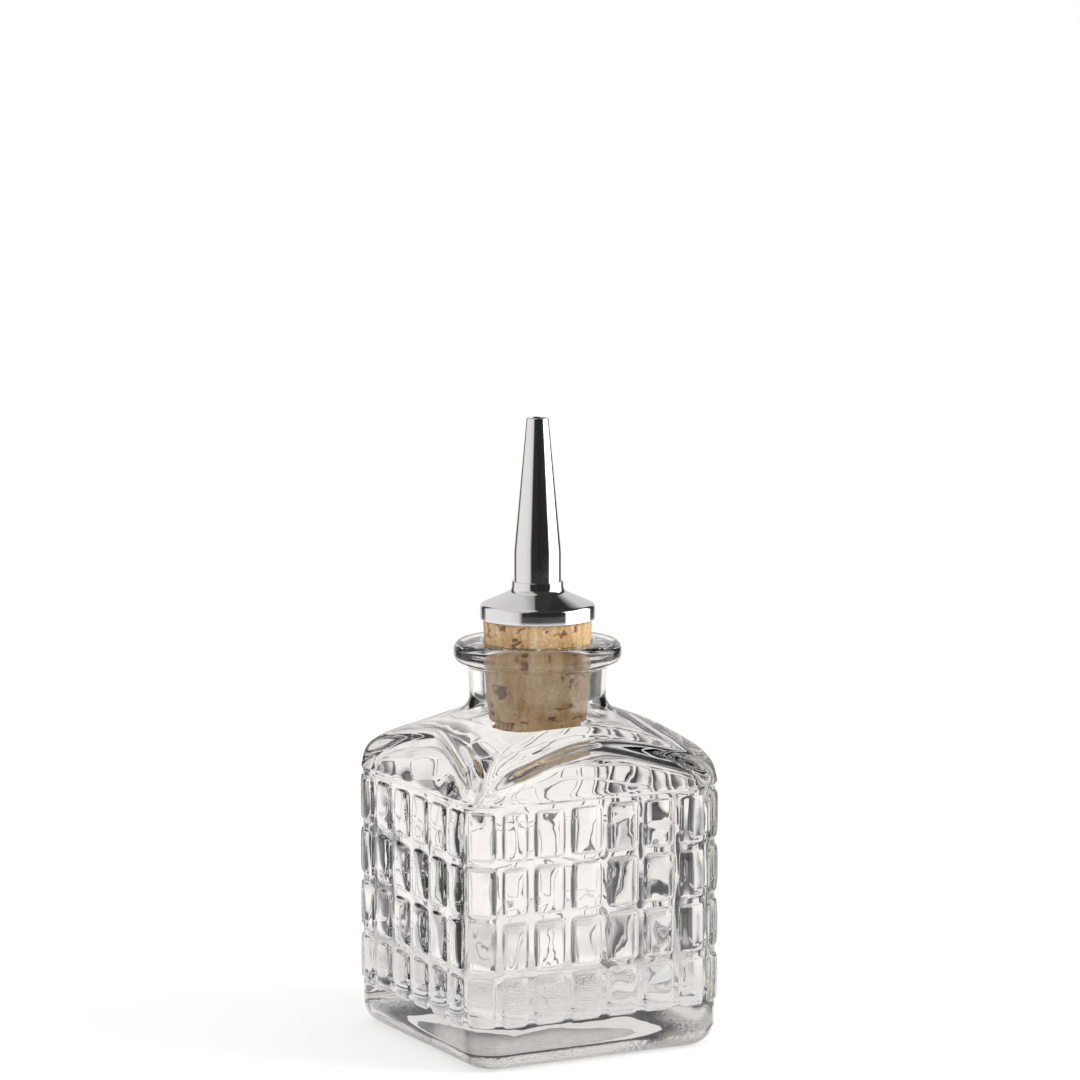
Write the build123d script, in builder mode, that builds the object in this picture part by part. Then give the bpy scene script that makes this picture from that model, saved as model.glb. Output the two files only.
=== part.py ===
from build123d import *
import math
import os

# A square glass bitters bottle with a waffle of raised blocks, and its cork with a metal dasher pourer.
# The bottle stands on z = 0, its axis is Z, and its four faces look along X and Y.
# All lengths are in millimetres and all angles in degrees.

# Glass body, measured to the floor of the grooves
face_count = 4
body_half_width = 28.2
body_corner_radius = 7.8
heel_radius = 5.0
base_thickness = 8.0
side_wall = 3.4
hollow_corner_radius = 5.6
hollow_floor_rounding_share = 0.82
push_up_radius = 18.0
push_up_depth = 1.2

# Raised blocks: rows up the body, columns across a face, and one block round each corner
block_depth = 0.7
grid_foot = 8.5
row_pitch = 10.9
row_count = 4
column_pitch = 8.08
face_groove_count = 5
edge_groove_angle = 19.2
groove_width = 1.5
groove_bevel = 0.5
block_corner_cut = 0.9

# Shoulder: a shallow cone round the neck, cut by one gabled, inclined facet over each face
shoulder_rim_rise = 4.6872
shoulder_slope = 20.3
shoulder_rim_margin = 0.65
shoulder_rim_rounding = 4.0
shoulder_wall = 3.2
facet_slope = 34.7
facet_inset = 0.55
facet_end_rise = 0.1219
facet_side_fall = 20.8
facet_peak_rounding = 21.0
facet_edge_rounding = 0.6
hollow_roof_drop = 3.0

# Neck and lip, round the cork
neck_height = 13.4
neck_wall = 3.1
neck_root_rounding = 3.0
lip_overhang = 2.8
lip_height = 4.4
lip_rounding = 1.6
lip_foot_rounding = 0.8
mouth_rounding = 1.0
bore_foot_rounding = 6.0
mouth_clearance = 0.15
bore_foot_clearance = 0.6

# Cork: a tapered plug that stands in the neck
cork_depth_in_neck = 18.8
cork_length = 24.8
cork_foot_radius = 9.8
cork_top_radius = 11.0
cork_edge_rounding = 0.4

# Pressed metal cap: skirt over the cork's upper edge, flared dome, and collar for the spout
sheet_thickness = 0.45
skirt_clearance = 0.05
skirt_height = 2.9
skirt_overlap = 1.7
dome_slope = 23.9
dome_edge_rounding = 0.8
collar_height = 1.9
collar_root_rounding = 1.3

# Spout: straight foot in the collar, then a long taper to the open tip
spout_radius = 4.7
spout_tip_radius = 2.2
spout_wall = 0.5
spout_straight = 5.8
spout_taper_length = 26.8
spout_bend_rounding = 14.0
spout_tip_rounding = 0.15

# Stem: thin tube from inside the spout down through the cork, with ridges that grip the cork
stem_wall = 0.5
stem_reach_above_cork = 9.5
stem_reach_below_cork = 0.6
barb_count = 3
barb_pitch = 5.0
barb_length = 2.4
barb_depth = 0.4
barb_foot_gap = 5.0

# Every cutting solid runs past the face it cuts by this much
overrun = 1.0

# Body and blocks, worked out from the sizes above
corner_centre = body_half_width - body_corner_radius
block_half_width = body_half_width + block_depth
block_corner_radius = body_corner_radius + block_depth
hollow_half_width = body_half_width - side_wall
row_inner_half_width = body_half_width - side_wall / 2
groove_half_width = groove_width / 2
groove_cut_depth = block_half_width - row_inner_half_width + overrun
push_up_curve = (push_up_radius**2 + push_up_depth**2) / (2 * push_up_depth)
push_up_sweep = math.degrees(math.asin(push_up_radius / push_up_curve))
grid_top = grid_foot + row_count * row_pitch
shoulder_foot = grid_top + groove_half_width

# Neck, round the cork
cork_widening = (cork_top_radius - cork_foot_radius) / cork_length
cork_radius_at_lip = cork_foot_radius + cork_widening * cork_depth_in_neck
mouth_radius = cork_radius_at_lip + mouth_clearance
bore_foot_radius = cork_foot_radius + bore_foot_clearance
neck_radius = bore_foot_radius + neck_wall
neck_top_radius = mouth_radius + neck_wall
lip_radius = neck_top_radius + lip_overhang

# Shoulder
cone_fall = math.tan(math.radians(shoulder_slope))
facet_fall = math.tan(math.radians(facet_slope))
rim_radius = corner_centre * math.sqrt(2) + block_corner_radius + shoulder_rim_margin
shoulder_rise = shoulder_rim_rise + (rim_radius - neck_radius) * cone_fall
rim_height = shoulder_foot + shoulder_rim_rise
shoulder_peak = shoulder_foot + shoulder_rise
bottle_height = shoulder_peak + neck_height
lip_foot = bottle_height - lip_height
cork_foot = bottle_height - cork_depth_in_neck
cork_top = cork_foot + cork_length
facet_half_width = block_half_width
facet_rise = facet_end_rise + facet_half_width * math.tan(math.radians(facet_side_fall))
hollow_roof_start = shoulder_foot - hollow_roof_drop
hollow_roof_end = shoulder_peak - shoulder_wall
hollow_roof_half_width = hollow_half_width - (hollow_roof_end - hollow_roof_start) * facet_fall
hollow_cone_drop = shoulder_wall / math.cos(math.radians(shoulder_slope))
bore_foot = shoulder_peak - hollow_cone_drop + (neck_radius - bore_foot_radius) * cone_fall
hollow_rim_height = rim_height - hollow_cone_drop

# Cap, spout and stem
dome_rise = math.tan(math.radians(dome_slope))
skirt_foot = cork_top - skirt_overlap
skirt_inner_radius = cork_top_radius + skirt_clearance
skirt_radius = skirt_inner_radius + sheet_thickness
dome_edge = skirt_foot + skirt_height
collar_radius = spout_radius + sheet_thickness
dome_top = dome_edge + (skirt_radius - collar_radius) * dome_rise
collar_top = dome_top + collar_height
spout_foot = dome_top - sheet_thickness
collar_floor = spout_foot - sheet_thickness
dome_drop = sheet_thickness / math.cos(math.radians(dome_slope))
dome_inner_edge = dome_edge - dome_drop + sheet_thickness * dome_rise
floor_reach = skirt_inner_radius - (collar_floor - dome_inner_edge) / dome_rise
spout_bend = collar_top + spout_straight
spout_tip = spout_bend + spout_taper_length
stem_radius = spout_radius - spout_wall
stem_foot = cork_foot - stem_reach_below_cork
stem_top = cork_top + stem_reach_above_cork


def stem_outline():
    """Gives the stem's outer side from foot to top as points: a straight tube with conical barbs."""
    points = [(stem_radius, stem_foot)]
    for index in range(barb_count):
        barb_foot = cork_foot + barb_foot_gap + index * barb_pitch
        points.append((stem_radius, barb_foot))
        points.append((stem_radius + barb_depth, barb_foot + barb_length))
        points.append((stem_radius, barb_foot + barb_length))
    points.append((stem_radius, stem_top))
    return points


def quarter_turns():
    """Gives one turn about Z for each face of the bottle."""
    return [Location((0, 0, 0), (0, 0, 360 / face_count * face)) for face in range(face_count)]


def groove_places():
    """Gives the plan places of the upright grooves, each with its own Y pointing out of the glass."""
    places = []
    first = -(face_groove_count - 1) / 2
    for turn in quarter_turns():
        for index in range(face_groove_count):
            along = (first + index) * column_pitch
            places.append(turn * Location((along, block_half_width, 0)))
        for side in (-1, 1):
            lean = Location((side * corner_centre, corner_centre, 0), (0, 0, -side * edge_groove_angle))
            places.append(turn * lean * Location((0, block_corner_radius, 0)))
    return places


def diamond(reach):
    """Gives the corners of a square that stands on one corner, each as far from its centre as the reach."""
    return [(reach, 0), (0, reach), (-reach, 0), (0, -reach)]


# Diamond-shaped cut that takes the corners off the four blocks that meet at a crossing of two grooves
with BuildPart() as crossing_cut:
    crossing_reach = groove_half_width + block_corner_cut
    with BuildSketch(Plane.XZ.offset(block_depth)):
        Polygon(*diamond(crossing_reach - block_depth), align=None)
    with BuildSketch(Plane.XZ.offset(-overrun)):
        Polygon(*diamond(crossing_reach + overrun), align=None)
    loft(ruled=True)

# One row of raised blocks: a ring with bevelled edges, parted by the upright grooves
with BuildPart() as block_row:
    with BuildSketch():
        RectangleRounded(2 * block_half_width, 2 * block_half_width, block_corner_radius)
    extrude(amount=row_pitch - groove_width)
    chamfer(block_row.edges().filter_by(Axis.Z, reverse=True), length=groove_bevel)
    with BuildSketch():
        RectangleRounded(2 * row_inner_half_width, 2 * row_inner_half_width, body_corner_radius)
    extrude(amount=row_pitch, mode=Mode.SUBTRACT)
    with BuildSketch(Plane.XY.offset(-overrun)):
        with Locations(*groove_places()):
            Polygon(
                (-groove_half_width - overrun, overrun),
                (-groove_half_width + groove_bevel, -groove_bevel),
                (-groove_half_width + groove_bevel, -groove_cut_depth),
                (groove_half_width - groove_bevel, -groove_cut_depth),
                (groove_half_width - groove_bevel, -groove_bevel),
                (groove_half_width + overrun, overrun),
                align=None,
            )
    extrude(amount=row_pitch + overrun, mode=Mode.SUBTRACT)
    for line_height in (-groove_half_width, row_pitch - groove_half_width):
        lift = Location((0, 0, line_height))
        with Locations(*[place * lift for place in groove_places()]):
            add(crossing_cut.part, mode=Mode.SUBTRACT)

# Upper body, neck and lip: the body's prism trimmed by one turned outline, with a facet cut over each face
with BuildPart() as upper_body:
    with BuildSketch(Plane.XY.offset(shoulder_foot)):
        RectangleRounded(2 * block_half_width, 2 * block_half_width, block_corner_radius)
    extrude(amount=bottle_height - shoulder_foot)
    chamfer(upper_body.faces().sort_by(Axis.Z)[0].edges(), length=groove_bevel)
    with BuildSketch(Plane.XZ):
        with BuildLine():
            side = FilletPolyline(
                (rim_radius, shoulder_foot - overrun),
                (rim_radius, rim_height),
                (neck_radius, shoulder_peak),
                (neck_top_radius, lip_foot),
                (lip_radius, lip_foot),
                (lip_radius, bottle_height),
                (mouth_radius, bottle_height),
                radius=[
                    shoulder_rim_rounding,
                    neck_root_rounding,
                    lip_foot_rounding,
                    lip_rounding,
                    lip_rounding,
                ],
            )
            Polyline(side @ 1, (0, bottle_height), (0, shoulder_foot - overrun), side @ 0)
        make_face()
    revolve(axis=Axis.Z, mode=Mode.INTERSECT)
    facet_plane = Plane(
        origin=(0, -block_half_width + facet_inset, shoulder_foot),
        x_dir=(1, 0, 0),
        z_dir=(0, -math.cos(math.radians(facet_slope)), math.sin(math.radians(facet_slope))),
    )
    with BuildSketch(*[Plane(turn * facet_plane.location) for turn in quarter_turns()]):
        with BuildLine():
            gable = FilletPolyline(
                (-facet_half_width, facet_end_rise),
                (0, facet_rise),
                (facet_half_width, facet_end_rise),
                radius=facet_peak_rounding,
            )
            Polyline(
                gable @ 1,
                (facet_half_width, -overrun),
                (-facet_half_width, -overrun),
                gable @ 0,
            )
        make_face()
    extrude(amount=shoulder_rise, dir=(0, 0, 1), mode=Mode.SUBTRACT)
    curved_edges = upper_body.edges().filter_by(
        lambda edge: edge.geom_type in (GeomType.BSPLINE, GeomType.ELLIPSE)
    )
    ledge_edges = curved_edges.filter_by(lambda edge: edge.center().Z > shoulder_foot)
    fillet(ledge_edges, radius=facet_edge_rounding)

# Hollow of the bottle: straight sides, a roof that follows the facets and the cone, and the neck's bore
with BuildPart() as hollow:
    with BuildSketch(Plane.XY.offset(base_thickness)):
        RectangleRounded(2 * hollow_half_width, 2 * hollow_half_width, hollow_corner_radius)
    extrude(amount=hollow_roof_start - base_thickness)
    fillet(
        hollow.faces().sort_by(Axis.Z)[0].edges(),
        radius=hollow_corner_radius * hollow_floor_rounding_share,
    )
    with BuildSketch(Plane.XY.offset(hollow_roof_start)):
        RectangleRounded(2 * hollow_half_width, 2 * hollow_half_width, hollow_corner_radius)
    with BuildSketch(Plane.XY.offset(hollow_roof_end)):
        RectangleRounded(2 * hollow_roof_half_width, 2 * hollow_roof_half_width, hollow_corner_radius)
    loft(ruled=True)
    with BuildSketch(Plane.XY.offset(hollow_roof_start)):
        Circle(bore_foot_radius + bore_foot_rounding)
    extrude(amount=bottle_height + overrun - hollow_roof_start)
    with BuildSketch(Plane.XZ):
        with BuildLine():
            inside = FilletPolyline(
                (rim_radius, hollow_rim_height),
                (bore_foot_radius, bore_foot),
                (mouth_radius, bottle_height - mouth_rounding),
                (mouth_radius + mouth_rounding, bottle_height),
                radius=[bore_foot_rounding, mouth_rounding],
            )
            Polyline(
                inside @ 1,
                (mouth_radius + mouth_rounding, bottle_height + overrun),
                (0, bottle_height + overrun),
                (0, 0),
                (rim_radius, 0),
                inside @ 0,
            )
        make_face()
    revolve(axis=Axis.Z, mode=Mode.INTERSECT)

# Glass bottle: plain core with a rounded heel, the upper body, the hollow, the push-up and the block rows
with BuildPart() as glass_bottle:
    with BuildSketch():
        RectangleRounded(2 * body_half_width, 2 * body_half_width, body_corner_radius)
    extrude(amount=shoulder_foot)
    fillet(glass_bottle.faces().sort_by(Axis.Z)[0].edges(), radius=heel_radius)
    add(upper_body.part)
    add(hollow.part, mode=Mode.SUBTRACT)
    with BuildSketch(Plane.XZ):
        with BuildLine():
            Line((0, 0), (push_up_radius, 0))
            middle = Line((0, 0), (0, push_up_depth))
            JernArc(middle @ 1, (1, 0), push_up_curve, -push_up_sweep)
        make_face()
    revolve(axis=Axis.Z, mode=Mode.SUBTRACT)
    first_row_foot = grid_foot + groove_half_width
    row_feet = [(0, 0, first_row_foot + row * row_pitch) for row in range(row_count)]
    with Locations(*row_feet):
        add(block_row.part)
glass_bottle.part.label = "glass_bottle"

# Stem: a thin open tube with conical barbs
with BuildPart() as stem_tube:
    with BuildSketch(Plane.XZ):
        with BuildLine():
            Polyline(
                *stem_outline(),
                (stem_radius - stem_wall, stem_top),
                (stem_radius - stem_wall, stem_foot),
                close=True,
            )
        make_face()
    revolve(axis=Axis.Z)
stem_tube.part.label = "stem_tube"

# Cork: tapered plug, its bore pressed round the barbed stem
with BuildPart() as cork_stopper:
    with BuildSketch(Plane.XZ):
        with BuildLine():
            flank = FilletPolyline(
                (0, cork_foot),
                (cork_foot_radius, cork_foot),
                (cork_top_radius, cork_top),
                (0, cork_top),
                radius=cork_edge_rounding,
            )
            Line(flank @ 1, flank @ 0)
        make_face()
        with BuildLine():
            Polyline(
                (0, stem_foot),
                *stem_outline(),
                (0, stem_top),
                close=True,
            )
        make_face(mode=Mode.SUBTRACT)
    revolve(axis=Axis.Z)
cork_stopper.part.label = "cork_stopper"

# Cap: one sheet of metal as skirt, dome and collar, with a floor round the stem that the spout stands on
with BuildPart() as spout_cap:
    with BuildSketch(Plane.XZ):
        with BuildLine():
            outside = FilletPolyline(
                (skirt_radius, skirt_foot),
                (skirt_radius, dome_edge),
                (collar_radius, dome_top),
                (collar_radius, collar_top),
                radius=[dome_edge_rounding, collar_root_rounding],
            )
            Polyline(
                outside @ 1,
                (spout_radius, collar_top),
                (spout_radius, spout_foot),
                (stem_radius, spout_foot),
                (stem_radius, collar_floor),
                (floor_reach, collar_floor),
                (skirt_inner_radius, dome_inner_edge),
                (skirt_inner_radius, skirt_foot),
                outside @ 0,
            )
        make_face()
    revolve(axis=Axis.Z)
spout_cap.part.label = "spout_cap"

# Spout: a straight foot, a long taper and a small open tip, hollow all the way
with BuildPart() as pour_spout:
    with BuildSketch(Plane.XZ):
        with BuildLine():
            spout_side = FilletPolyline(
                (spout_radius, spout_foot),
                (spout_radius, spout_bend),
                (spout_tip_radius, spout_tip),
                (spout_tip_radius - spout_wall, spout_tip),
                (spout_radius - spout_wall, spout_bend),
                (spout_radius - spout_wall, spout_foot),
                radius=[
                    spout_bend_rounding,
                    spout_tip_rounding,
                    spout_tip_rounding,
                    spout_bend_rounding,
                ],
            )
            Line(spout_side @ 1, spout_side @ 0)
        make_face()
    revolve(axis=Axis.Z)
pour_spout.part.label = "pour_spout"

os.makedirs("parts", exist_ok=True)
for piece in (glass_bottle, cork_stopper, spout_cap, pour_spout, stem_tube):
    export_step(piece.part, f"parts/{piece.part.label}.step")
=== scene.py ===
import math

import bpy
import numpy as np
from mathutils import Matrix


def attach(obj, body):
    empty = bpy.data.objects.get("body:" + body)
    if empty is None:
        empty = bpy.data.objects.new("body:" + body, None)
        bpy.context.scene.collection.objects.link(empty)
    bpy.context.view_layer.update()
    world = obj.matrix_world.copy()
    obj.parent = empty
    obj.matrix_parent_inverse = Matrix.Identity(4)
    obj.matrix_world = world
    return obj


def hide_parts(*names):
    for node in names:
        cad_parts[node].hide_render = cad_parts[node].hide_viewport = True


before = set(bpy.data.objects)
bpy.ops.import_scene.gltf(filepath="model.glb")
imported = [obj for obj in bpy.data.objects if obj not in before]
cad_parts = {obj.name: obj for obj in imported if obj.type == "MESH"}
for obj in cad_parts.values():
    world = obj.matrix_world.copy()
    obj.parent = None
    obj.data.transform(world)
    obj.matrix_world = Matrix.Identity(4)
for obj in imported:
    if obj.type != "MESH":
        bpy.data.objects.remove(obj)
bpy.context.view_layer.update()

# Looks of a square glass bitters bottle with a cork and a chromed dasher pourer.
# Shapes are worked out in millimetres and turned into metres when a mesh is made.
MM = 0.001

# Body: plan of the block faces, and how deep the grooves between them lie
corner_centre = 20.4
block_corner = 8.5
groove_depth = 0.7
groove_half = 0.75
column_pitch = 8.08
edge_groove_angle = math.radians(19.2)
grid_foot = 8.5
row_pitch = 10.9
row_count = 4
grid_top = grid_foot + row_count * row_pitch
heel_radius = 5.0
push_up_radius = 18.0
push_up_depth = 1.2
push_up_rings = 12
flat_rings = 5
heel_rings = 10
innermost_radius = 1.5
plain_levels = [5.8, 6.5]

# Raised blocks
block_rounding = 1.3
block_edge_width = 0.6
block_crown = 0.32
block_half_width = 3.29
block_wave = 0.02
wave_middle = 1.5
block_steps = 6

# Shoulder: shallow cone, gabled facets and their ledges
shoulder_foot = grid_top + groove_half
shoulder_peak = shoulder_foot + 13.75
cone_slope = math.radians(20.3)
rim_radius = 38.0
rim_rounding = 7.0
facet_slope = math.radians(34.7)
facet_foot = 28.35
gable_rise = 11.1
gable_fall = 0.38
gable_rounding = 1.5
ledge_rounding = 1.1
ledge_root_rounding = 0.8
cone_end = 17.0
shoulder_ring_steps = (4, 14, 14, 20)
top_groove_lead = 0.25
top_groove_blend = 0.9
rim_blend = 1.6
seam_gap = 0.1
ledge_rounds = 60

# Neck and lip
neck_radius = 13.5
neck_top_radius = 13.96
neck_root_rounding = 3.8
lip_foot = 75.6
lip_radius = 16.76
lip_rounding = 1.75
lip_root_rounding = 1.0
bottle_height = 80.0
mouth_radius = 10.86
mouth_rounding = 1.0
bore_foot_radius = 10.4
bore_foot_height = 64.3
bore_foot_rounding = 6.0
bore_flare_radius = 15.0

# Hollow
hollow_half = 24.8
hollow_corner = 5.6
base_thickness = 8.0
hollow_floor_rounding = 5.5
hollow_roof_start = 52.0
hollow_cone_drop = 3.41
hollow_rounding = 3.5
hollow_ripple = 0.15
hollow_ring_count = 58
hollow_calm_radius = 18.5
hollow_calm_fade = 6.0
floor_ripple_share = 0.3
# The hollow's rings are found along rays from this point on the axis, between these lifts in degrees
hollow_centre = 36.0
hollow_first_lift = 57.5
hollow_last_lift = -88.5
meridian_steps = 700

# Stopper
cork_foot = 61.2
cork_top = 86.0
cork_foot_radius = 9.8
cork_top_radius = 11.0
stem_radius = 4.2
stem_foot = 60.6
stem_top = 95.5
tube_wall = 0.5
skirt_foot = 84.3
skirt_radius = 11.5
dome_edge = 87.2
dome_top = 90.01
collar_radius = 5.15
collar_top = 91.91
sheet = 0.45
spout_radius = 4.7
spout_foot = dome_top - sheet
spout_bend = 97.71
spout_tip = 124.514
spout_tip_radius = 2.2
metal_columns = 200
stem_columns = 120
inner_edge_drop = 0.3
joint_gap = 0.02
skirt_rounding = 0.2
dome_edge_rounding = 0.9
collar_root_rounding = 1.5
collar_rounding = 0.15
joint_rounding = 0.05
fold_rounding = 0.1
spout_foot_rounding = 0.12
spout_bend_rounding = 14.0
spout_tip_rounding = 0.2
spout_mouth_rounding = 0.15
spout_foot_bevel = 0.3
stem_rounding = 0.15
stem_foot_bevel = 0.4

# Cork skin: pits and a fine roughness
cork_columns = 300
cork_bore_rings = 22
cork_run_step = 0.24
cork_foot_rounding = 0.5
cork_top_rounding = 0.4
skin_start = 6.0
skin_fade = 2.0
skin_depth = 0.02
roughness_depth = 0.05
pit_depth = 0.34
pit_warp = 0.28
pit_edge = 1.15
pit_edge_fade = 0.7
large_pit_half_depth = 0.9
large_pit_strength = 0.85
small_pit_count = 120
foot_pit_interval = 3
foot_pit_reach = 5.0
foot_roughness = 0.06
foot_skin_start = 0.2
foot_skin_fade = 0.8
foot_skin_height = 0.05

# Small pits: half width, half height and half depth are shares of a size drawn at random
small_pit_sizes = (0.25, 0.8)
small_pit_wide_shares = (0.8, 1.9)
small_pit_tall_shares = (0.5, 1.3)
small_pit_depth_share = 1.2
small_pit_strengths = (0.5, 1.0)
enlarged_share = 0.16
enlarged_factor = 1.5
crowding_to_top = 1.4
crowding_to_foot = 2

# Camera, fitted to the photograph, with its place in metres and its lens and sensor in millimetres.
# Bearings are counted from its side to the picture's right.
camera_azimuth = math.radians(-27.75)
camera_bearing = math.atan2(-math.cos(camera_azimuth), math.sin(camera_azimuth))
camera_tilt = math.radians(82.6)
camera_place = (-0.4092, -0.7788, 0.2143)
camera_lens = 148.6
camera_sensor = 36


def smooth_step(x):
    """Eases from 0 to 1 as x goes from 0 to 1."""
    t = np.clip(x, 0, 1)
    return t * t * (3 - 2 * t)


def soft_max(a, b, width):
    """The larger of two fields, with the crease between them rounded over the width."""
    near = np.maximum(width - np.abs(a - b), 0) / width
    return np.maximum(a, b) + near * near * width / 4


def soft_min(a, b, width):
    """The smaller of two fields, rounded in the same way."""
    return -soft_max(-a, -b, width)


def ripples(points, count, shortest, longest, seed):
    """Smooth irregular waves in space, of about unit size, from a seeded set of plane waves."""
    rng = np.random.default_rng(seed)
    lengths = rng.uniform(shortest, longest, count)
    ways = rng.normal(size=(count, 3))
    ways /= np.linalg.norm(ways, axis=1)[:, None]
    phases = rng.uniform(0, 2 * math.pi, count)
    total = np.zeros(points.shape[:-1])
    for length, way, phase in zip(lengths, ways, phases):
        total += np.sin(points @ way * (2 * math.pi / length) + phase)
    return total / math.sqrt(count / 2)


def rounded(corners, radii, arc_steps=7, run_step=1.0):
    """A profile of straight runs with rounded corners between them; a radius for each inner corner."""
    corners = [np.array(c, float) for c in corners]
    path = [corners[0]]
    for before, corner, after, radius in zip(corners, corners[1:], corners[2:], radii):
        way_in = (before - corner) / np.linalg.norm(before - corner)
        way_out = (after - corner) / np.linalg.norm(after - corner)
        half = math.acos(float(np.clip(way_in @ way_out, -1, 1))) / 2
        if radius <= 0:
            path.append(corner)
            continue
        bisector = (way_in + way_out) / np.linalg.norm(way_in + way_out)
        middle = corner + bisector * radius / math.sin(half)
        spoke = corner + way_in * radius / math.tan(half) - middle
        turn = math.pi - 2 * half
        side = -1 if way_in[0] * way_out[1] - way_in[1] * way_out[0] > 0 else 1
        for step in range(arc_steps + 1):
            a = side * turn * step / arc_steps
            cos, sin = math.cos(a), math.sin(a)
            path.append(middle + [spoke[0] * cos - spoke[1] * sin, spoke[0] * sin + spoke[1] * cos])
    path.append(corners[-1])
    fine = [path[0]]
    for start, end in zip(path, path[1:]):
        steps = max(1, round(float(np.linalg.norm(end - start)) / run_step))
        for step in range(1, steps + 1):
            fine.append(start + (end - start) * step / steps)
    return np.array(fine)


def make_object(name, points, faces, body, node, material):
    """A smooth-shaded piece from points in millimetres, riding on its body in place of a CAD node."""
    mesh = bpy.data.meshes.new(name)
    mesh.from_pydata((np.asarray(points) * MM).tolist(), [], faces)
    mesh.update()
    mesh.polygons.foreach_set("use_smooth", [True] * len(mesh.polygons))
    mesh.materials.append(material)
    piece = bpy.data.objects.new(name, mesh)
    bpy.context.scene.collection.objects.link(piece)
    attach(piece, body)
    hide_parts(node)
    return piece


def ring_faces(ring_count, column_count, closed, first=0):
    """Quads between neighbouring rings; the last ring joins the first again where closed."""
    faces = []
    for ring in range(ring_count if closed else ring_count - 1):
        a = first + ring * column_count
        b = first + (ring + 1) % ring_count * column_count
        for column in range(column_count):
            after = (column + 1) % column_count
            faces.append((a + column, a + after, b + after, b + column))
    return faces


def lathe(profile, column_count):
    """Points and faces of a closed profile (r, z) turned about Z; the profile runs counterclockwise."""
    angles = np.linspace(0, 2 * math.pi, column_count, endpoint=False)
    points = [
        (r * math.cos(a), r * math.sin(a), z)
        for r, z in profile
        for a in angles
    ]
    return np.array(points), ring_faces(len(profile), column_count, True)


# Columns round the body, with more of them across each upright groove
groove_offsets = [-1.4, -1.05, -0.85, -0.7, -0.4, 0, 0.4, 0.7, 0.85, 1.05, 1.4]
corner_run = block_corner * math.pi / 4
edge_groove = corner_centre + block_corner * edge_groove_angle
upright_grooves = [-edge_groove] + [column_pitch * i for i in range(-2, 3)] + [edge_groove]
level_grooves = [grid_foot + row_pitch * i for i in range(row_count + 1)]


def with_fill(centres, inner_steps):
    """Samples round each groove centre, and evenly spread ones on the blocks between."""
    samples = []
    for before, centre in zip([None] + centres, centres):
        if before is not None:
            run = np.linspace(before + groove_offsets[-1], centre + groove_offsets[0], inner_steps + 1)
            samples += list(run[1:-1])
        samples += [centre + offset for offset in groove_offsets]
    return samples


quarter_end = corner_centre + corner_run
quarter = with_fill(upright_grooves, block_steps)
seam = list(np.linspace(-quarter_end, quarter[0], 4)[:-1])
quarter = np.array(seam + quarter + [-s for s in reversed(seam[1:])])
lean = np.clip(np.abs(quarter) - corner_centre, 0, None) / block_corner * np.sign(quarter)
quarter_along = np.clip(quarter, -corner_centre, corner_centre)
quarter_core = np.stack([quarter_along, np.full(len(quarter), -corner_centre)], 1)
quarter_normal = np.stack([np.sin(lean), -np.cos(lean)], 1)


def all_round(plan):
    """A quarter's plan vectors, repeated for the four faces."""
    turns = []
    for face in range(4):
        a = face * math.pi / 2
        turn = np.array([[math.cos(a), math.sin(a)], [-math.sin(a), math.cos(a)]])
        turns.append(plan @ turn)
    return np.concatenate(turns)


core = all_round(quarter_core)
normal = all_round(quarter_normal)
along = np.tile(quarter, 4)
face_plan = core + block_corner * normal
spoke = face_plan / np.linalg.norm(face_plan, axis=1)[:, None]
column_count = len(core)


def square_ring(inset, height):
    """A ring at one height, this far inside the plan of the block faces; the inset may differ by column."""
    out = block_corner - np.broadcast_to(inset, column_count)
    return np.column_stack([core + out[:, None] * normal, np.full(column_count, height)])


def round_ring(radius, height):
    """A round ring of this radius at one height."""
    return np.column_stack([spoke * radius, np.full(column_count, height)])


def block_depth(height):
    """How far the side lies inside the plan of the block faces, all round at one height.

    Each block has a rounded outline, a steep rounded edge and a low crown.
    """
    across = np.min(np.abs(along[:, None] - np.array(upright_grooves)[None, :]), axis=1) - groove_half
    up = min(abs(height - groove) for groove in level_grooves) - groove_half
    if height < level_grooves[0]:
        up = -groove_half
    near_across = np.maximum(block_rounding - across, 0)
    near_up = max(block_rounding - up, 0)
    inside = block_rounding - np.hypot(near_across, near_up)
    inside += np.maximum(np.minimum(across, up) - block_rounding, 0)
    rise = np.clip(inside / block_edge_width, 0, 1)
    edge = np.sqrt(1 - (1 - rise) ** 2)
    bulge_across = 1 - (1 - np.clip(across / block_half_width, 0, 1)) ** 2
    bulge_up = 1 - (1 - min(max(up / block_half_width, 0), 1)) ** 2
    return groove_depth - (groove_depth - block_crown) * edge - block_crown * bulge_across * bulge_up


def gable_height(side):
    """Height of a facet's upper edge, measured in the facet, at a distance from its middle."""
    return gable_rise - np.hypot(gable_rounding, gable_fall * side)


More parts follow.
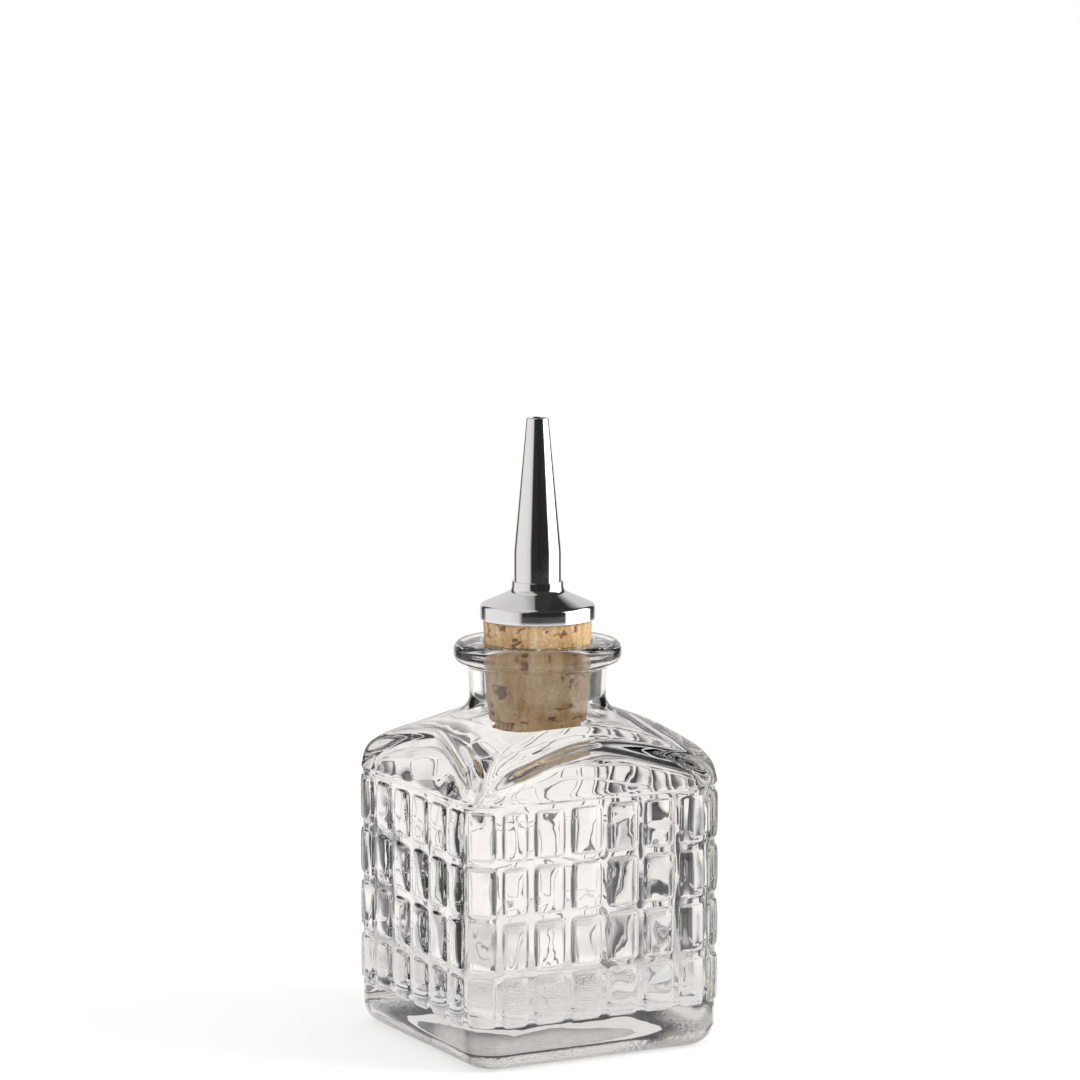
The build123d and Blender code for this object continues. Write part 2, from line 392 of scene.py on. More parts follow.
def shoulder_field(points):
    """Distance-like field of the body above the top groove: below zero inside the glass."""
    x, y, z = np.abs(points[:, 0]), np.abs(points[:, 1]), points[:, 2]
    out, side = np.maximum(x, y), np.minimum(x, y)
    past_out, past_side = out - corner_centre, side - corner_centre
    prism = np.hypot(np.maximum(past_out, 0), np.maximum(past_side, 0)) - block_corner
    step_up = smooth_step((z - grid_top - top_groove_lead) / top_groove_blend)
    wall = prism + groove_depth * (1 - step_up)
    cone = (z - shoulder_peak + (np.hypot(x, y) - neck_radius) * math.tan(cone_slope)) * math.cos(cone_slope)
    cap = soft_max(cone, np.hypot(x, y) - rim_radius, rim_rounding)
    solid = soft_max(wall, cap, rim_blend)
    beyond = (out - facet_foot) * math.cos(facet_slope) + (z - shoulder_foot) * math.sin(facet_slope)
    in_front = out - facet_foot + gable_height(side) * math.sin(facet_slope)
    in_front /= math.hypot(1, gable_fall * math.sin(facet_slope))
    return soft_max(solid, soft_min(beyond, in_front, ledge_root_rounding), ledge_rounding)


def hollow_field(points):
    """Distance-like field of the hollow: below zero in the room for the liquid."""
    x, y, z = np.abs(points[:, 0]), np.abs(points[:, 1]), points[:, 2]
    out, side = np.maximum(x, y), np.minimum(x, y)
    middle = hollow_half - hollow_corner
    past_out, past_side = out - middle, side - middle
    prism = np.hypot(np.maximum(past_out, 0), np.maximum(past_side, 0)) - hollow_corner
    prism += np.minimum(np.maximum(past_out, past_side), 0)
    roof = (out - hollow_half) * math.cos(facet_slope) + (z - hollow_roof_start) * math.sin(facet_slope)
    peak = shoulder_peak - hollow_cone_drop
    cone = (z - peak + (np.hypot(x, y) - neck_radius) * math.tan(cone_slope)) * math.cos(cone_slope)
    top = soft_max(soft_max(prism, roof, hollow_rounding), cone, hollow_rounding)
    return soft_max(top, base_thickness - z, hollow_floor_rounding)


def slope_of(field, points):
    """The field's gradient at each point."""
    step = 0.01
    parts = []
    for axis in range(3):
        shift = np.zeros(3)
        shift[axis] = step
        parts.append((field(points + shift) - field(points - shift)) / (2 * step))
    return np.stack(parts, 1)


def settle(field, points, rounds=8):
    """Moves the points onto the field's zero surface."""
    for _ in range(rounds):
        slope = slope_of(field, points)
        points = points - (field(points) / np.sum(slope * slope, axis=1))[:, None] * slope
    return points


def shoulder_rings():
    """Rings from the top groove over facet, ledge and cone to near the neck, sampled along each column."""
    reach = np.linalg.norm(face_plan, axis=1)
    out_share = np.max(np.abs(spoke), axis=1)
    side_share = np.min(np.abs(spoke), axis=1)
    tangent = side_share / out_share

    def cone_height(radius):
        """Height of the shoulder's cone this far from the axis."""
        return shoulder_peak - (radius - neck_radius) * math.tan(cone_slope)

    # How far out each column meets the ledge: the gable's height there depends on the answer
    ledge_out = np.full(column_count, facet_foot)
    for _ in range(ledge_rounds):
        behind = gable_height(ledge_out * tangent) * math.sin(facet_slope)
        ledge_out = 0.5 * ledge_out + 0.5 * np.minimum(facet_foot - behind, facet_foot)
    ledge_radius = np.minimum(ledge_out / out_share, reach)
    facet_rise = np.maximum(facet_foot - ledge_radius * out_share, 0) / math.tan(facet_slope)
    floor_radius = np.linalg.norm(core + (block_corner - groove_depth) * normal, axis=1)
    foot_radius = np.minimum(facet_foot / out_share, reach)
    corners = np.stack(
        [
            np.stack([floor_radius, np.full(column_count, grid_top)], 1),
            np.stack([foot_radius, np.full(column_count, shoulder_foot + seam_gap)], 1),
            np.stack([ledge_radius, shoulder_foot + seam_gap + facet_rise], 1),
            np.stack([ledge_radius, cone_height(ledge_radius) - seam_gap], 1),
            np.stack([np.full(column_count, cone_end), cone_height(np.full(column_count, cone_end))], 1),
        ]
    )
    runs = np.linalg.norm(np.diff(corners, axis=0), axis=2)
    reached = np.concatenate([np.zeros((1, column_count)), np.cumsum(runs, axis=0)])
    marks = reached.copy()
    shortest_run = 0.5
    for mark in range(1, 4):
        marks[mark] = np.maximum(marks[mark], marks[mark - 1] + shortest_run)
    rings = []
    for segment, steps in enumerate(shoulder_ring_steps):
        for step in range(steps):
            place = marks[segment] + (marks[segment + 1] - marks[segment]) * step / steps
            radius = np.array([np.interp(p, reached[:, c], corners[:, c, 0]) for c, p in enumerate(place)])
            height = np.array([np.interp(p, reached[:, c], corners[:, c, 1]) for c, p in enumerate(place)])
            points = np.column_stack([spoke * radius[:, None], height])
            rings.append(points if segment == 0 and step == 0 else settle(shoulder_field, points))
    return rings[1:]


def hollow_rings():
    """Rings of the hollow from under the neck down to near the middle of the floor."""

    def hits(ways):
        """Where rays from the middle of the hollow meet its surface, by halving."""
        always_inside, always_outside, halvings = 8.0, 45.0, 45
        low, high = np.full(len(ways), always_inside), np.full(len(ways), always_outside)
        centre = np.array([0, 0, hollow_centre])
        for _ in range(halvings):
            middle = (low + high) / 2
            inside = hollow_field(centre + ways * middle[:, None]) < 0
            low = np.where(inside, middle, low)
            high = np.where(inside, high, middle)
        return centre + ways * low[:, None]

    lift = np.radians(np.linspace(hollow_first_lift, hollow_last_lift, meridian_steps))
    meridian = hits(np.column_stack([np.cos(lift), np.zeros(len(lift)), np.sin(lift)]))
    run = np.concatenate([[0], np.cumsum(np.linalg.norm(np.diff(meridian, axis=0), axis=1))])
    chosen = np.interp(np.linspace(0, run[-1], hollow_ring_count), run, lift)
    rings = []
    for angle in chosen:
        ways = np.column_stack([spoke * math.cos(angle), np.full(column_count, math.sin(angle))])
        points = hits(ways)
        slope = slope_of(hollow_field, points)
        slope /= np.linalg.norm(slope, axis=1)[:, None]
        if angle > 0:
            from_axis = np.hypot(points[:, 0], points[:, 1])
            fade = smooth_step((from_axis - hollow_calm_radius) / hollow_calm_fade)
        else:
            over_floor = smooth_step((points[:, 2] - base_thickness) / hollow_calm_fade)
            fade = floor_ripple_share + (1 - floor_ripple_share) * over_floor
        wave = ripples(points, count=22, shortest=7, longest=20, seed=4)
        rings.append(points + slope * (hollow_ripple * wave * fade)[:, None])
    return rings


def bottle_mesh():
    """One closed surface: underside, heel, blocks, shoulder, neck and lip, then the bore and the hollow."""
    push_up_curve = (push_up_radius**2 + push_up_depth**2) / (2 * push_up_depth)
    rings = []
    for radius in np.linspace(innermost_radius, push_up_radius, push_up_rings):
        sag = push_up_curve - math.sqrt(push_up_curve**2 - radius**2)
        rings.append(round_ring(radius, push_up_depth - sag))
    push_up_edge = rings[-1]
    heel_start = square_ring(groove_depth + heel_radius, 0)
    for t in np.linspace(0, 1, flat_rings + 1)[1:]:
        rings.append(push_up_edge * (1 - t) + heel_start * t)
    for a in np.radians(np.linspace(0, 90, heel_rings + 1)[1:]):
        inset = groove_depth + heel_radius * (1 - math.sin(a))
        rings.append(square_ring(inset, heel_radius * (1 - math.cos(a))))
    for level in plain_levels + with_fill(level_grooves, block_steps):
        if level > grid_top - seam_gap:
            break
        depth = block_depth(level)
        wave = ripples(square_ring(0, level), count=16, shortest=9, longest=22, seed=11)
        depth = depth + block_wave * np.clip(wave_middle + wave, 0, 2 * wave_middle)
        rings.append(square_ring(depth, level))
    rings += shoulder_rings()
    cone_rise = math.tan(cone_slope)
    outside = rounded(
        [
            (cone_end, shoulder_peak - (cone_end - neck_radius) * cone_rise),
            (neck_radius, shoulder_peak),
            (neck_top_radius, lip_foot),
            (lip_radius, lip_foot),
            (lip_radius, bottle_height),
            (mouth_radius, bottle_height),
            (bore_foot_radius, bore_foot_height),
            (bore_flare_radius, bore_foot_height - (bore_flare_radius - bore_foot_radius) * cone_rise),
        ],
        [
            neck_root_rounding,
            lip_root_rounding,
            lip_rounding,
            lip_rounding,
            mouth_rounding,
            bore_foot_rounding,
        ],
        arc_steps=10,
    )
    for radius, height in outside[1:]:
        rings.append(round_ring(radius, height))
    rings += hollow_rings()
    points = np.concatenate(rings)
    faces = ring_faces(len(rings), column_count, False)
    under, floor = len(points), len(points) + 1
    floor_height = float(rings[-1][:, 2].mean())
    points = np.concatenate([points, [[0, 0, push_up_depth], [0, 0, floor_height]]])
    last = (len(rings) - 1) * column_count
    for column in range(column_count):
        after = (column + 1) % column_count
        faces.append((under, after, column))
        faces.append((floor, last + column, last + after))
    return points, faces


# Nodes of the materials

def new_material(name):
    """An empty node material and its tree."""
    material = bpy.data.materials.new(name)
    material.use_nodes = True
    material.node_tree.nodes.clear()
    return material, material.node_tree


def feed(tree, socket, value):
    """Gives an input a value, or links another node's output to it."""
    if isinstance(value, bpy.types.NodeSocket):
        tree.links.new(value, socket)
    else:
        socket.default_value = value


def node(tree, kind, **sockets):
    """A shader node with its inputs fed by name, an underscore standing for a space."""
    made = tree.nodes.new("ShaderNode" + kind)
    for key, value in sockets.items():
        feed(tree, made.inputs[key.replace("_", " ")], value)
    return made


def maths(tree, operation, *values):
    """The output of a math node on numbers or on other nodes' outputs."""
    made = node(tree, "Math")
    made.operation = operation
    for socket, value in zip(made.inputs, values):
        feed(tree, socket, value)
    return made.outputs["Value"]


def remap(tree, source, start, end, low=0.0, high=1.0):
    """The source's run from start to end, as one from low to high that is held beyond both ends."""
    made = node(tree, "MapRange", Value=source, From_Min=start, From_Max=end, To_Min=low, To_Max=high)
    return made.outputs["Result"]


def ramp(tree, source, stops):
    """A colour ramp through (place, colour) stops."""
    made = node(tree, "ValToRGB", Fac=source)
    elements = made.color_ramp.elements
    while len(elements) < len(stops):
        elements.new(0.5)
    for element, (place, colour) in zip(elements, stops):
        element.position = place
        element.color = (*colour, 1)
    return made.outputs["Color"]


def colour_mix(tree, share, first, second):
    """The colour between two others, by a share of the second."""
    made = node(tree, "Mix")
    made.data_type = "RGBA"
    # The colour sockets come after those for numbers and vectors
    for index, value in ((0, share), (6, first), (7, second)):
        feed(tree, made.inputs[index], value)
    return made.outputs[2]


def shader_mix(tree, share, first, second):
    """The shader between two others, by a share of the second."""
    made = node(tree, "MixShader")
    for socket, value in zip(made.inputs, (share, first, second)):
        feed(tree, socket, value)
    return made.outputs["Shader"]


def glass_material():
    """Clear glass with a faint haze, long swirls, a stippled heel and a slight tint in its depth."""
    material, tree = new_material("pressed_glass")
    place = node(tree, "TexCoord").outputs["Object"]
    haze = node(tree, "TexNoise", Vector=place, Scale=160.0, Detail=3.0).outputs["Fac"]
    height = node(tree, "SeparateXYZ", Vector=place).outputs["Z"]
    heel = remap(tree, height, 0.0034, 0.0022)
    roughness = maths(tree, "MULTIPLY_ADD", heel, 0.22, remap(tree, haze, 0.45, 0.85, high=0.05))
    swirl = node(tree, "TexNoise", Vector=place, Scale=95.0, Detail=2.0, Distortion=0.8).outputs["Fac"]
    swirled = node(tree, "Bump", Height=swirl, Strength=0.12, Distance=0.0006).outputs["Normal"]
    stipple = node(tree, "TexNoise", Vector=place, Scale=1100.0, Detail=2.0).outputs["Fac"]
    stippled = node(tree, "Bump", Height=stipple, Strength=heel, Distance=0.0003, Normal=swirled)
    shader = node(
        tree,
        "BsdfPrincipled",
        Base_Color=(0.985, 0.983, 0.98, 1),
        IOR=1.5,
        Transmission_Weight=1.0,
        Roughness=roughness,
        Normal=stippled.outputs["Normal"],
    )
    absorb = node(tree, "VolumeAbsorption", Color=(0.73, 0.71, 0.67, 1), Density=10.0)
    node(tree, "OutputMaterial", Surface=shader.outputs["BSDF"], Volume=absorb.outputs["Volume"])
    return material


def cork_material():
    """Cork with upright bands, a fine grain, dark flecks and dark pits where the mesh is pitted."""
    material, tree = new_material("natural_cork")
    place = node(tree, "TexCoord").outputs["Object"]
    stretched = node(tree, "Mapping", Vector=place, Scale=(1, 1, 0.22)).outputs["Vector"]
    bands = node(tree, "TexNoise", Vector=stretched, Scale=420.0, Detail=4.0, Roughness=0.6)
    band_colour = ramp(
        tree,
        bands.outputs["Fac"],
        [
            (0.3, (0.43, 0.25, 0.11)),
            (0.45, (0.61, 0.39, 0.19)),
            (0.58, (0.71, 0.50, 0.28)),
            (0.75, (0.80, 0.61, 0.39)),
        ],
    )
    cells = node(tree, "TexVoronoi", Vector=place, Scale=1500.0).outputs["Distance"]
    grained = node(tree, "VectorMath")
    grained.operation = "SCALE"
    feed(tree, grained.inputs[0], band_colour)
    feed(tree, grained.inputs["Scale"], remap(tree, cells, 0.0, 0.9, 1.06, 0.8))
    pit = node(tree, "Attribute")
    pit.attribute_name = "pit"
    fleck = node(tree, "TexNoise", Vector=place, Scale=900.0, Detail=3.0).outputs["Fac"]
    dark = maths(tree, "MAXIMUM", pit.outputs["Fac"], remap(tree, fleck, 0.66, 0.74, high=0.55))
    colour = colour_mix(tree, dark, grained.outputs["Vector"], (0.16, 0.065, 0.025, 1))
    bumped = node(tree, "Bump", Height=cells, Strength=0.5, Distance=0.0002).outputs["Normal"]
    shader = node(tree, "BsdfPrincipled", Base_Color=colour, Roughness=0.8, Normal=bumped)
    node(tree, "OutputMaterial", Surface=shader.outputs["BSDF"])
    return material


def chrome_material():
    """Bright metal with soft smudges and fine upright drawing lines."""
    material, tree = new_material("polished_chrome")
    place = node(tree, "TexCoord").outputs["Object"]
    smudge = node(tree, "TexNoise", Vector=place, Scale=130.0, Detail=5.0, Roughness=0.65).outputs["Fac"]
    stretched = node(tree, "Mapping", Vector=place, Scale=(1, 1, 0.05)).outputs["Vector"]
    lines = node(tree, "TexNoise", Vector=stretched, Scale=2600.0, Detail=2.0).outputs["Fac"]
    drawn = node(tree, "Bump", Height=lines, Strength=0.06, Distance=0.00004).outputs["Normal"]
    shader = node(
        tree,
        "BsdfPrincipled",
        Base_Color=(0.80, 0.80, 0.81, 1),
        Metallic=1.0,
        Roughness=remap(tree, smudge, 0.35, 0.75, 0.045, 0.13),
        Normal=drawn,
    )
    node(tree, "OutputMaterial", Surface=shader.outputs["BSDF"])
    return material


glass = glass_material()
cork = cork_material()
chrome = chrome_material()

# Glass bottle
points, faces = bottle_mesh()
make_object("bottle_glass", points, faces, "bottle", "glass_bottle", glass)


# The cork's largest pits: bearing from the camera's side to the right, height, half width, half height
large_pits = [
    (-66, 82.8, 0.7, 1.3),
    (-40, 83.2, 1.2, 0.7),
    (-21, 81.0, 1.5, 0.6),
    (29, 82.3, 0.9, 0.8),
    (45, 83.3, 0.7, 1.1),
    (8, 83.6, 0.5, 0.4),
    (-41, 70.6, 1.7, 1.3),
    (37, 72.6, 0.9, 1.1),
    (39, 67.6, 1.1, 0.6),
    (-58, 67.6, 0.7, 1.3),
    (24, 63.4, 1.3, 0.3),
    (47, 64.2, 0.9, 0.5),
    (-12, 77.0, 0.8, 0.5),
]


def cork_mesh():
    """The tapered cork with pits and a rough skin, bored for the stem, and each point's depth in a pit."""
    flank = rounded(
        [
            (stem_radius, cork_foot),
            (cork_foot_radius, cork_foot),
            (cork_top_radius, cork_top),
            (stem_radius, cork_top),
        ],
        [cork_foot_rounding, cork_top_rounding],
        arc_steps=5,
        run_step=cork_run_step,
    )
    bore = [(stem_radius, z) for z in np.linspace(cork_top, cork_foot, cork_bore_rings + 2)[1:-1]]
    profile = np.concatenate([flank, bore])
    points, faces = lathe(profile, cork_columns)
    radius = np.hypot(points[:, 0], points[:, 1])
    skin = smooth_step((radius - skin_start) / skin_fade)
    rng = np.random.default_rng(29)
    pit = np.zeros(len(points))
    # The pits are ellipsoids in bent space, so that no outline is a plain ellipse
    warp = [ripples(points, count=14, shortest=0.9, longest=2.6, seed=s) for s in (51, 52, 53)]
    bent = points + np.stack(warp, 1) * pit_warp
    # Each spot: angle, height, half width, half height, half depth and strength
    spots = []
    for bearing, height, wide, tall in large_pits:
        angle = camera_bearing + math.radians(bearing)
        spots.append((angle, height, wide, tall, large_pit_half_depth, large_pit_strength))
    for index in range(small_pit_count):
        angle = rng.uniform(0, 2 * math.pi)
        if index % foot_pit_interval:
            height = cork_foot + (cork_top - cork_foot) * (1 - rng.uniform() ** crowding_to_top)
        else:
            height = cork_foot + rng.uniform() ** crowding_to_foot * foot_pit_reach
        size = rng.uniform(*small_pit_sizes)
        size *= enlarged_factor if rng.uniform() < enlarged_share else 1
        tall = size * rng.uniform(*small_pit_tall_shares)
        wide = size * rng.uniform(*small_pit_wide_shares)
        deep = size * small_pit_depth_share
        spots.append((angle, height, wide, tall, deep, rng.uniform(*small_pit_strengths)))
    for angle, height, wide, tall, depth, strength in spots:
        at = np.interp(height, [cork_foot, cork_top], [cork_foot_radius, cork_top_radius])
        centre = np.array([at * math.cos(angle), at * math.sin(angle), height])
        side = np.array([-math.sin(angle), math.cos(angle), 0])
        away = bent - centre
        across = away @ side / wide
        deep = away @ np.array([math.cos(angle), math.sin(angle), 0]) / depth
        up = away[:, 2] / tall
        near = across**2 + up**2 + deep**2
        pit = np.maximum(pit, strength * smooth_step((pit_edge - near) / pit_edge_fade))
    fine = ripples(points, count=40, shortest=0.5, longest=1.6, seed=7)
    rough = 0.5 + 0.5 * np.clip(fine / 2, -1, 1)
    inward = skin * (skin_depth + roughness_depth * rough + pit_depth * pit)
    out = points[:, :2] / radius[:, None]
    points[:, :2] -= out * inward[:, None]
    foot_skin = smooth_step((radius - stem_radius - foot_skin_start) / foot_skin_fade)
    foot_rise = foot_roughness * rough * foot_skin
    points[:, 2] += np.where(points[:, 2] < cork_foot + foot_skin_height, foot_rise, 0)
    return points, faces, pit * skin


points, faces, pits = cork_mesh()
piece = make_object("cork", points, faces, "stopper", "cork_stopper", cork)
pit_layer = piece.data.attributes.new("pit", "FLOAT", "POINT")
pit_layer.data.foreach_set("value", pits.astype(np.float32))

# Metal cap: skirt, dome and collar
dome_fall = (dome_top - dome_edge) / (skirt_radius - collar_radius)
floor_under = spout_foot - sheet
inner_edge = dome_edge - inner_edge_drop
floor_reach = skirt_radius - sheet - (floor_under - inner_edge) / dome_fall
cap_profile = rounded(
    [
        (skirt_radius - sheet / 2, skirt_foot),
        (skirt_radius, skirt_foot),
        (skirt_radius, dome_edge),
        (collar_radius, dome_top),
        (collar_radius, collar_top),
        (spout_radius + joint_gap, collar_top),
        (spout_radius + joint_gap, spout_foot),
        (stem_radius + joint_gap, spout_foot),
        (stem_radius + joint_gap, floor_under),
        (floor_reach, floor_under),
        (skirt_radius - sheet, inner_edge),
        (skirt_radius - sheet, skirt_foot),
        (skirt_radius - sheet / 2, skirt_foot),
    ],
    [skirt_rounding, dome_edge_rounding, collar_root_rounding, collar_rounding]
    + 4 * [joint_rounding]
    + 2 * [fold_rounding]
    + [skirt_rounding],
    arc_steps=8,
    run_step=0.6,
)[:-1]
points, faces = lathe(cap_profile, metal_columns)
make_object("cap", points, faces, "stopper", "spout_cap", chrome)

# Metal spout
spout_profile = rounded(
    [
        (spout_radius - tube_wall, spout_foot),
        (spout_radius, spout_foot),
        (spout_radius, spout_bend),
        (spout_tip_radius, spout_tip),
        (spout_tip_radius - tube_wall, spout_tip),
        (spout_radius - tube_wall, spout_bend),
        (spout_radius - tube_wall, spout_foot + spout_foot_bevel),
    ],
    [
        spout_foot_rounding,
        spout_bend_rounding,
        spout_tip_rounding,
        spout_mouth_rounding,
        spout_bend_rounding,
    ],
    arc_steps=8,
    run_step=0.8,
)
points, faces = lathe(spout_profile, metal_columns)
make_object("spout", points, faces, "stopper", "pour_spout", chrome)

# Metal stem through the cork
stem_profile = rounded(
    [
        (stem_radius - tube_wall, stem_foot),
        (stem_radius, stem_foot),
        (stem_radius, stem_top),
        (stem_radius - tube_wall, stem_top),
        (stem_radius - tube_wall, stem_foot + stem_foot_bevel),
    ],
    3 * [stem_rounding],
    arc_steps=5,
    run_step=1.0,
)
points, faces = lathe(stem_profile, stem_columns)
make_object("stem", points, faces, "stopper", "stem_tube", chrome)


# Directions in the studio

def direction(tree):
    """A point's bearing, as a share of a turn from the camera's side to the picture's right, and its lift.

    The lift is a share of a right angle.
    """
    parts = node(tree, "SeparateXYZ", Vector=node(tree, "TexCoord").outputs["Object"])
    x, y, z = (parts.outputs[axis] for axis in "XYZ")
    turned = maths(tree, "SUBTRACT", maths(tree, "ARCTAN2", y, x), camera_bearing)
    share = maths(tree, "FRACT", maths(tree, "DIVIDE", turned, 2 * math.pi))
    square_x = maths(tree, "POWER", x, 2.0)
    square_y = maths(tree, "POWER", y, 2.0)
    flat = maths(tree, "SQRT", maths(tree, "ADD", square_x, square_y))
    lift = maths(tree, "DIVIDE", maths(tree, "ARCTAN2", z, flat), math.pi / 2)
    return share, lift


def grey(value):
    """A level of the studio's light, slightly warm."""
    return (value, 0.975 * value, 0.95 * value)


def round_light(stops):
    """Ramp stops all round from bearings in degrees and levels."""
    return [(bearing / 360, grey(level)) for bearing, level in stops]


# What the glass sees at each bearing in degrees, as a level: white straight behind the bottle,
# dark cards beside that. On the left the white reaches further round far from the bottle.
right_light = [
    (15, 0.9),
    (30, 0.04),
    (58, 0.04),
    (74, 0.9),
    (106, 0.9),
    (118, 0.04),
    (147, 0.04),
    (158, 0.06),
    (168, 1.08),
]
near_left = [(192, 1.08), (202, 0.1), (217, 0.04)]
far_left = [(226, 1.08), (234, 0.5), (238, 0.04)]
left_light = [(242, 0.04), (254, 0.9), (286, 0.9), (302, 0.04), (330, 0.04), (345, 0.9)]
near_light = round_light(right_light + near_left + left_light)
far_light = round_light(right_light + far_left + left_light)
ceiling_light = round_light(
    [
        (0, 0.05),
        (90, 0.05),
        (176, 0.03),
        (189, 0.7),
        (250, 0.82),
        (330, 0.5),
        (345, 0.05),
    ]
)
# A grey level for two places as the glass sees them: the floor round the bottle, where it is a painted
# shadow of the bottle, and the pale low band of the walls
pale_light = (*grey(0.8), 1)
# What the metal and the outside of the glass reflect at each bearing
mirror_light = round_light(
    [
        (0, 0.02),
        (57, 0.03),
        (63, 3.0),
        (122, 3.0),
        (132, 0.06),
        (152, 0.06),
        (158, 0.7),
        (206, 0.8),
        (212, 0.06),
        (226, 0.1),
        (236, 0.95),
        (300, 0.9),
        (322, 0.75),
        (330, 0.03),
    ]
)
white = (1, 1, 1, 1)


def floor_paint():
    """White paint that keeps a faint shadow; through the glass it glows with the levels above as painted
    light and shade, and with a painted shadow of the bottle round it.

    Far out it turns into the same white as the backdrop.
    """
    material, tree = new_material("pale_floor")
    rays = node(tree, "LightPath")
    through_glass = rays.outputs["Is Transmission Ray"]
    share, _ = direction(tree)
    length = node(tree, "VectorMath")
    length.operation = "LENGTH"
    feed(tree, length.inputs[0], node(tree, "TexCoord").outputs["Object"])
    far = length.outputs["Value"]
    # Seen through the glass, the floor glows with the studio's levels by bearing: painted light and shade on
    # the floor
    around_near, around_far = ramp(tree, share, near_light), ramp(tree, share, far_light)
    around = colour_mix(tree, remap(tree, far, 0.3, 0.45), around_near, around_far)
    # Within a few centimetres of the bottle it glows only grey to the glass: a painted shadow of the bottle
    painted_floor_light = colour_mix(tree, remap(tree, far, 0.06, 0.11), pale_light, around)
    painted_floor_glow = node(tree, "Emission", Color=painted_floor_light, Strength=0.97)
    paint = node(tree, "BsdfDiffuse", Color=(0.97, 0.97, 0.97, 1))
    lift_light = node(tree, "Emission", Color=white, Strength=1.0)
    lifted = shader_mix(tree, 0.5, paint.outputs["BSDF"], lift_light.outputs["Emission"])
    near_floor = shader_mix(tree, through_glass, lifted, painted_floor_glow.outputs["Emission"])
    backdrop = node(tree, "Emission", Color=colour_mix(tree, through_glass, white, around), Strength=1.0)
    open_air = node(tree, "BsdfTransparent")
    mirrored = maths(tree, "SUBTRACT", rays.outputs["Is Glossy Ray"], through_glass)
    beyond = shader_mix(tree, mirrored, backdrop.outputs["Emission"], open_air.outputs["BSDF"])
    node(tree, "OutputMaterial", Surface=shader_mix(tree, remap(tree, far, 0.2, 0.6), near_floor, beyond))
    return material


def tent_cloth():
    """White walls with dark gaps, a pale band low down for the glass, and a ceiling dark on the right."""
    material, tree = new_material("studio_tent")
    rays = node(tree, "LightPath")
    through_glass = rays.outputs["Is Transmission Ray"]
    share, lift = direction(tree)
    low_band = ramp(tree, lift, [(0.02, (0, 0, 0)), (0.05, (1, 1, 1)), (0.2, (1, 1, 1)), (0.32, (0, 0, 0))])
    glass_walls = colour_mix(tree, low_band, ramp(tree, share, far_light), pale_light)
    walls = colour_mix(tree, through_glass, ramp(tree, share, mirror_light), glass_walls)
    mirror_ceiling = remap(tree, lift, 0.36, 0.5)
    glass_ceiling = remap(tree, lift, 0.2, 0.5)
    ceiling = node(tree, "Mix", Factor=through_glass, A=mirror_ceiling, B=glass_ceiling).outputs[0]
    top = colour_mix(tree, ceiling, walls, ramp(tree, share, ceiling_light))
    # A plain light for rays that left a matte surface, such as the cork inside the neck
    bounced = maths(tree, "GREATER_THAN", rays.outputs["Diffuse Depth"], 0.5)
    glow = node(tree, "Emission", Color=colour_mix(tree, bounced, top, (1.3, 1.3, 1.3, 1)), Strength=1.0)
    node(tree, "OutputMaterial", Surface=glow.outputs["Emission"])
    return material


# Floor
studio_floor_radius = 8.0
floor_mesh = bpy.data.meshes.new("floor")
angles = np.linspace(0, 2 * math.pi, 64, endpoint=False)
floor_edge = [(studio_floor_radius * math.cos(a), studio_floor_radius * math.sin(a), 0) for a in angles]
floor_mesh.from_pydata(floor_edge, [], [tuple(range(len(floor_edge)))])
floor_mesh.materials.append(floor_paint())
floor = bpy.data.objects.new("floor", floor_mesh)
bpy.context.scene.collection.objects.link(floor)

# World: white to the camera, and a plain even light
world = bpy.data.worlds.new("studio")
bpy.context.scene.world = world
world.use_nodes = True
world.node_tree.nodes.clear()
sky = node(world.node_tree, "Background", Color=white, Strength=1.0)
node(world.node_tree, "OutputWorld", Surface=sky.outputs["Background"])

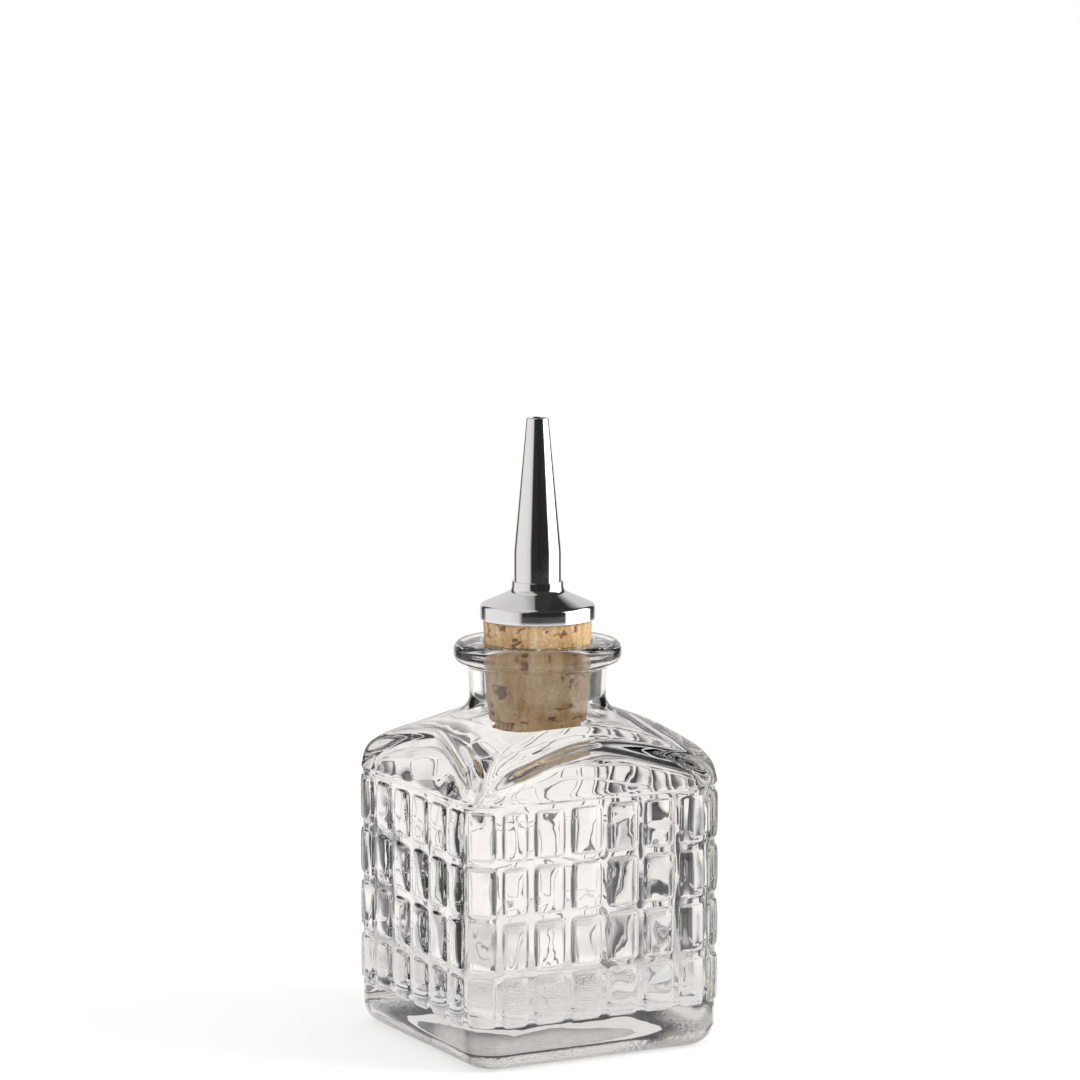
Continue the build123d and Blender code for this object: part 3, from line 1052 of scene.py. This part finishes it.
# Studio tent, seen only in reflections and through the glass
tent_radius = 3.0
tent_levels = 30
tent_columns = 48
tent_points = [(0, 0, tent_radius)]
for level in range(1, tent_levels):
    a = math.pi / 2 * (1 - 2 * level / tent_levels)
    for bearing_step in range(tent_columns):
        b = 2 * math.pi * bearing_step / tent_columns
        tent_points.append(
            (
                tent_radius * math.cos(a) * math.cos(b),
                tent_radius * math.cos(a) * math.sin(b),
                tent_radius * math.sin(a),
            )
        )
tent_faces = [(0, 1 + i, 1 + (i + 1) % tent_columns) for i in range(tent_columns)]
tent_faces += ring_faces(tent_levels - 1, tent_columns, False, first=1)
tent_mesh = bpy.data.meshes.new("tent")
tent_mesh.from_pydata(tent_points, [], tent_faces)
tent_mesh.materials.append(tent_cloth())
tent = bpy.data.objects.new("tent", tent_mesh)
bpy.context.scene.collection.objects.link(tent)
tent.visible_camera = False
tent.visible_diffuse = False
tent.visible_shadow = False
tent.visible_volume_scatter = False


# Soft lamps from both sides
lamp_aim_height = 0.06


def soft_lamp(name, azimuth, height, distance, size, power):
    """A square lamp at an azimuth from the camera, aimed at the bottle; it shows in nothing itself."""
    lamp = bpy.data.lights.new(name, "AREA")
    lamp.shape = "RECTANGLE"
    lamp.size = size
    lamp.size_y = size
    lamp.energy = power
    holder = bpy.data.objects.new(name, lamp)
    a = camera_azimuth + math.radians(azimuth)
    holder.location = (distance * math.sin(a), -distance * math.cos(a), height)
    holder.rotation_euler = (math.atan2(distance, height - lamp_aim_height), 0, a)
    holder.visible_camera = False
    holder.visible_glossy = False
    holder.visible_transmission = False
    bpy.context.scene.collection.objects.link(holder)


soft_lamp("left_lamp", -65, 0.7, 0.9, 0.6, 1.0)
soft_lamp("right_lamp", 80, 0.5, 0.9, 0.5, 7.0)

# Camera
camera_data = bpy.data.cameras.new("camera")
camera_data.sensor_width = camera_sensor
camera_data.lens = camera_lens
camera_data.clip_start = 0.05
camera_data.clip_end = 50
camera = bpy.data.objects.new("camera", camera_data)
camera.location = camera_place
camera.rotation_euler = (camera_tilt, 0, camera_azimuth)
bpy.context.scene.collection.objects.link(camera)
bpy.context.scene.camera = camera

bpy.context.scene.view_settings.view_transform = "Standard"
